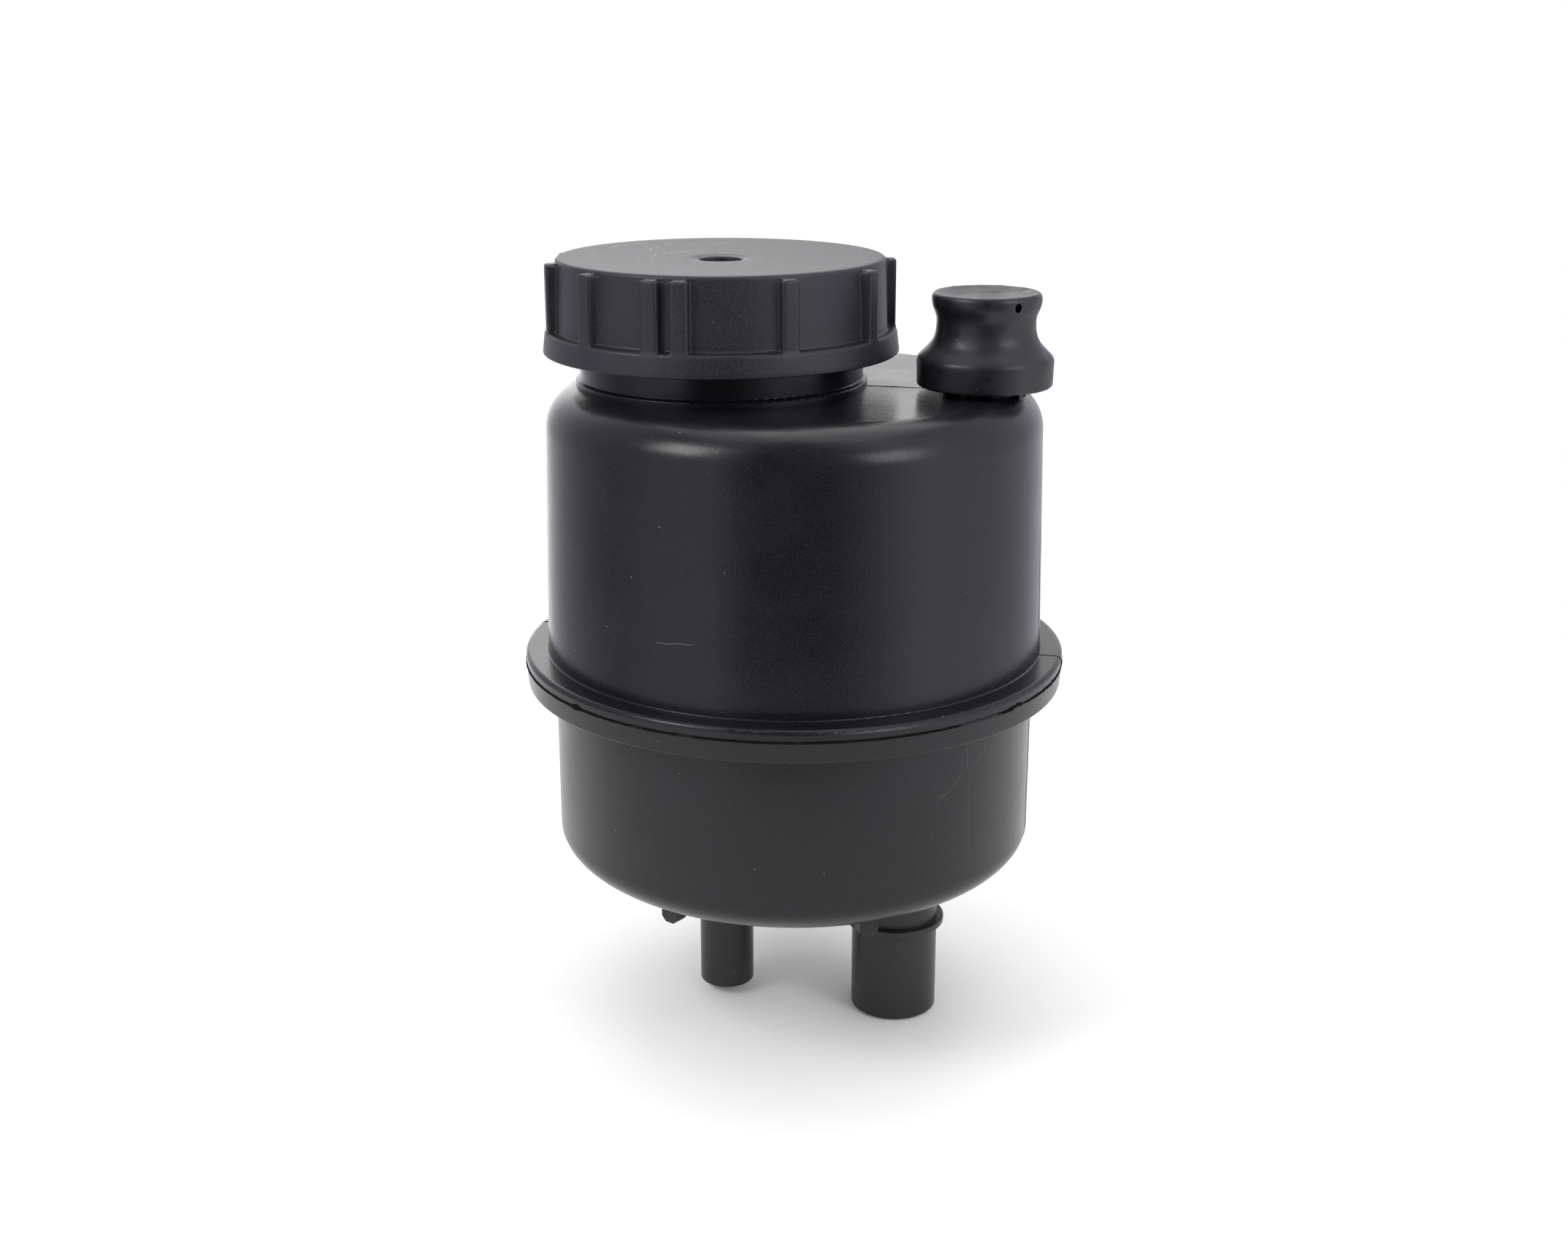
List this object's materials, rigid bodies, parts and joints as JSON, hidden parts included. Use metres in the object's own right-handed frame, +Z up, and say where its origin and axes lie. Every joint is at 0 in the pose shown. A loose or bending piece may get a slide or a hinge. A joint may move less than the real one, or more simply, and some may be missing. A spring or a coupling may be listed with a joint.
{
  "type": "hydraulic reservoir",
  "caption": "Welded black plastic hydraulic oil reservoir with a ribbed screw cap, a rubber-covered vent, a return filter inside and hose stubs underneath.",
  "frame": {"origin": "on the tank's axis at the underside of its flange", "axes": "+Z up along the tank's axis, +X towards the vent and the suction stub, with the filler neck and the return stub on -X"},
  "size_m": [0.1533, 0.1532, 0.2206],
  "materials": {
    "shell_plastic": "black moulded nylon, satin",
    "cap_plastic": "dark blue-grey moulded plastic, matte",
    "hub_plastic": "black moulded plastic",
    "natural_plastic": "natural nylon",
    "boot_rubber": "moulded black rubber, satin",
    "seal_rubber": "black nitrile rubber",
    "breather_foam": "open-cell foam",
    "steel_screen": "woven steel screen",
    "spring_steel": "drawn spring wire",
    "filter_steel": "zinc-plated sheet steel",
    "filter_paper": "resin-treated pleated filter paper"
  },
  "bodies": {
    "tank": {"upper_shell": "shell_plastic", "lower_shell": "shell_plastic", "return_hose_stub": "shell_plastic", "suction_hose_stub": "shell_plastic", "weld_bead": "shell_plastic", "vent_foam": "breather_foam", "vent_splash_guard": "shell_plastic", "strainer_basket": "natural_plastic", "strainer_screen": "steel_screen", "hold_down_spring": "spring_steel", "baffle_plate": "shell_plastic", "suction_baffle": "shell_plastic"},
    "cap_seal": {"cap_slip_ring": "natural_plastic", "cap_gasket": "seal_rubber"},
    "cap": {"filler_cap": "cap_plastic", "dipstick_hub": "hub_plastic", "dipstick_blade": "natural_plastic"},
    "vent_cover": {"vent_boot": "boot_rubber"},
    "filter_element": {"filter_top_plate": "filter_steel", "filter_bottom_plate": "filter_steel", "filter_media": "filter_paper", "filter_core": "filter_steel", "filter_wrap": "filter_steel", "filter_seal": "seal_rubber"}
  },
  "joints": [
    {"name": "cap_lift", "type": "slide", "parent": "tank", "child": "cap_seal", "axis": [0, 0, 1], "range_m": [0, 0.024]},
    {"name": "cap_turn", "type": "hinge", "parent": "cap_seal", "child": "cap", "pos_m": [-0.0207, 0, 0.1], "axis": [0, 0, 1], "range_deg": [0, 1440]},
    {"name": "vent_boot_pull", "type": "slide", "parent": "tank", "child": "vent_cover", "axis": [0, 0, 1], "range_m": [0, 0.026]},
    {"name": "filter_lift", "type": "slide", "parent": "tank", "child": "filter_element", "axis": [0, 0, 1], "range_m": [0, 0.004], "stiffness_N_per_m": 3000, "springref_m": -0.01, "deforming": ["hold_down_spring"]}
  ],
  "couplings": [
    {"joint": "cap_lift", "follows": "cap_turn", "m_per_rad": 0.00095492}
  ]
}
